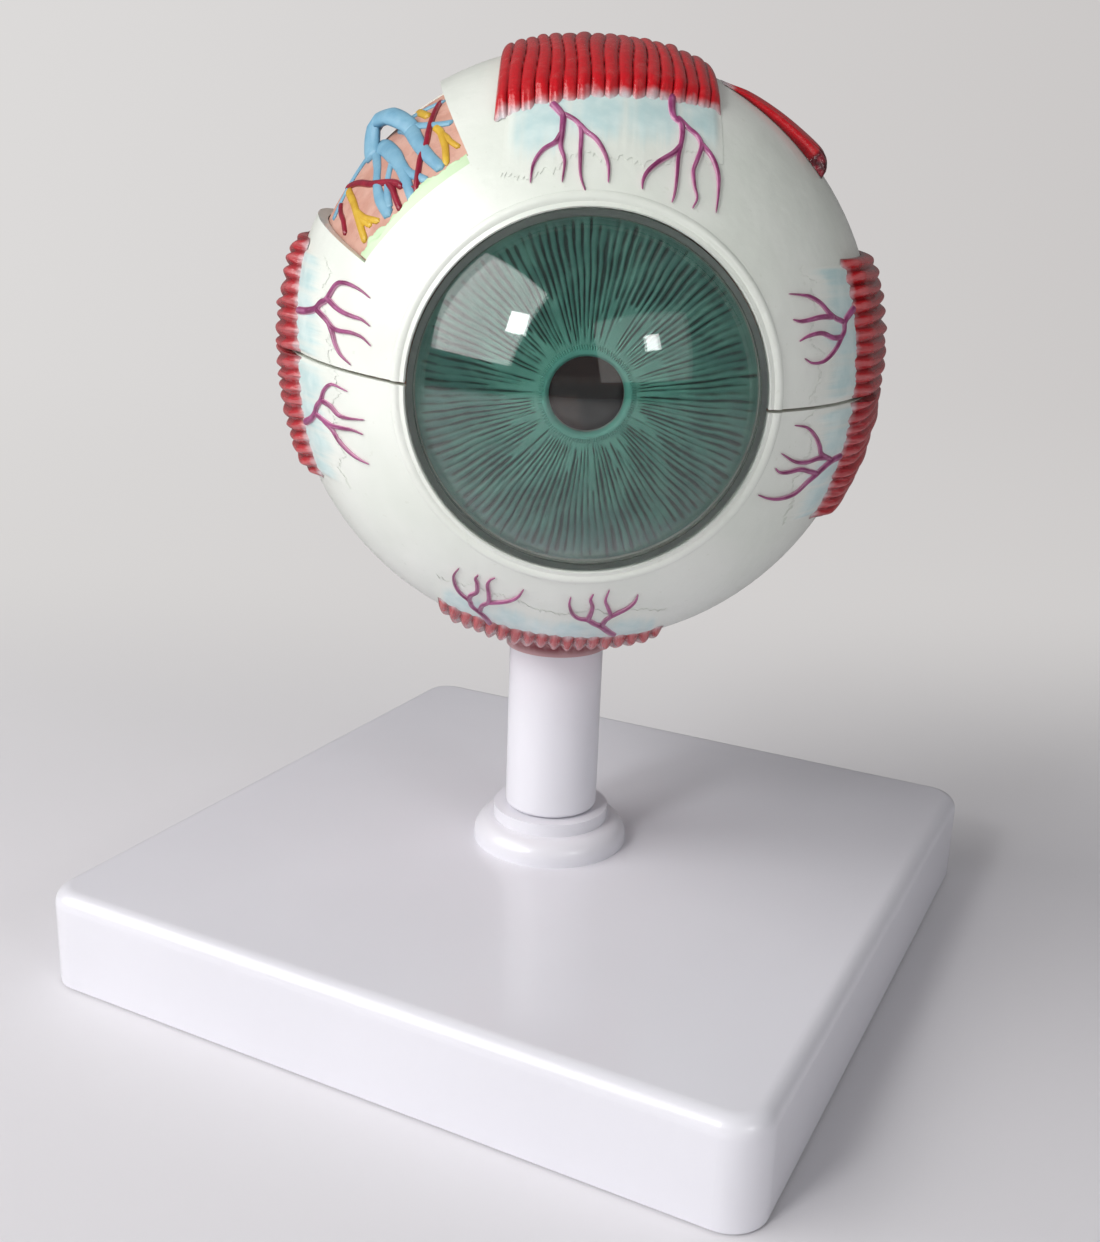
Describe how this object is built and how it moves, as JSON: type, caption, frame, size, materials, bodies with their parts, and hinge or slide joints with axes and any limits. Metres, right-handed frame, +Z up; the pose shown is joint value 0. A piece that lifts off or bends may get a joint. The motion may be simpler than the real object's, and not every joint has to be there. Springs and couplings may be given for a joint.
{
  "type": "eye anatomy model",
  "caption": "Enlarged teaching model of an eye on a pole and square base; the upper half lifts off and vitreous body, lens, iris and cornea come out.",
  "frame": {"origin": "middle of the underside of the base, on the table", "axes": "+Z up along the pole; the base's sides lie along X and Y, and the gaze is turned from -Y towards +X"},
  "size_m": [0.19, 0.19, 0.2333],
  "materials": {
    "white_plastic": "injection-moulded white ABS, glossy",
    "black_rubber": "soft rubber pad",
    "steel": "zinc-plated screw and washer",
    "sclera_paint": "white shell, hand-painted, satin lacquer",
    "choroid_paint": "painted lining, salmon pink",
    "artery_paint": "painted dark red relief",
    "membrane_paint": "painted pale green relief",
    "vein_paint": "painted blue relief",
    "nerve_paint": "painted yellow relief",
    "nerve_sheath_paint": "painted ochre sheath",
    "vessel_paint": "painted purple-red relief",
    "muscle_paint": "painted crimson ribs, lacquered",
    "muscle_pink": "painted dark pink ribs, lacquered",
    "tendon_paint": "pale blue wash over white",
    "clear_vitreous": "hollow clear plastic ball",
    "clear_lens": "clear cast plastic",
    "clear_cornea": "clear polished plastic",
    "ciliary_paint": "painted dark brown",
    "iris_dark": "painted dark green",
    "iris_paint": "painted teal ridges"
  },
  "bodies": {
    "stand": {"base_shell": "white_plastic", "foot_pads": "black_rubber", "collar": "white_plastic", "collar_washer": "steel", "collar_screw": "steel"},
    "lower_eye": {"pole": "white_plastic", "lower_sclera": "sclera_paint", "lower_choroid": "choroid_paint", "lower_retina_vessels": "artery_paint", "inferior_rectus": "muscle_pink", "inferior_rectus_tendon": "tendon_paint", "lower_lateral_rectus": "muscle_pink", "lower_lateral_tendon": "tendon_paint", "lower_medial_rectus": "muscle_pink", "lower_medial_tendon": "tendon_paint", "inferior_oblique": "muscle_pink", "lower_ciliary_vessels": "vessel_paint", "nerve_sheath": "nerve_sheath_paint", "optic_nerve": "nerve_paint", "central_vessels": "artery_paint"},
    "vitreous": {"vitreous_body": "clear_vitreous"},
    "upper_eye": {"upper_sclera": "sclera_paint", "upper_choroid": "choroid_paint", "upper_retina_vessels": "artery_paint", "choroid_membrane": "membrane_paint", "vortex_vein": "vein_paint", "choroid_arteries": "artery_paint", "ciliary_nerves": "nerve_paint", "superior_rectus": "muscle_paint", "superior_rectus_tendon": "tendon_paint", "upper_lateral_rectus": "muscle_pink", "upper_lateral_tendon": "tendon_paint", "upper_medial_rectus": "muscle_paint", "upper_medial_tendon": "tendon_paint", "superior_oblique": "muscle_paint", "upper_ciliary_vessels": "vessel_paint"},
    "lens_unit": {"lens": "clear_lens"},
    "iris_unit": {"ciliary_body": "ciliary_paint", "iris_plate": "iris_dark", "iris": "iris_paint", "pupil_ring": "iris_paint"},
    "cornea_unit": {"cornea": "clear_cornea"}
  },
  "joints": [
    {"name": "pole_swivel", "type": "hinge", "parent": "stand", "child": "lower_eye", "pos_m": [0, 0, 0.05], "axis": [0, 0, 1], "continuous": true},
    {"name": "vitreous_lift", "type": "slide", "parent": "lower_eye", "child": "vitreous", "axis": [0.0615, -0.0266, 0.9978], "range_m": [0, 0.11]},
    {"name": "upper_half_lift", "type": "slide", "parent": "vitreous", "child": "upper_eye", "axis": [0.0615, -0.0266, 0.9978], "range_m": [0, 0.1]},
    {"name": "lens_pull", "type": "slide", "parent": "vitreous", "child": "lens_unit", "axis": [0.4669, -0.8828, -0.0523], "range_m": [0, 0.05]},
    {"name": "iris_pull", "type": "slide", "parent": "lens_unit", "child": "iris_unit", "axis": [0.4669, -0.8828, -0.0523], "range_m": [0, 0.04]},
    {"name": "cornea_pull", "type": "slide", "parent": "iris_unit", "child": "cornea_unit", "axis": [0.4669, -0.8828, -0.0523], "range_m": [0, 0.04]}
  ]
}
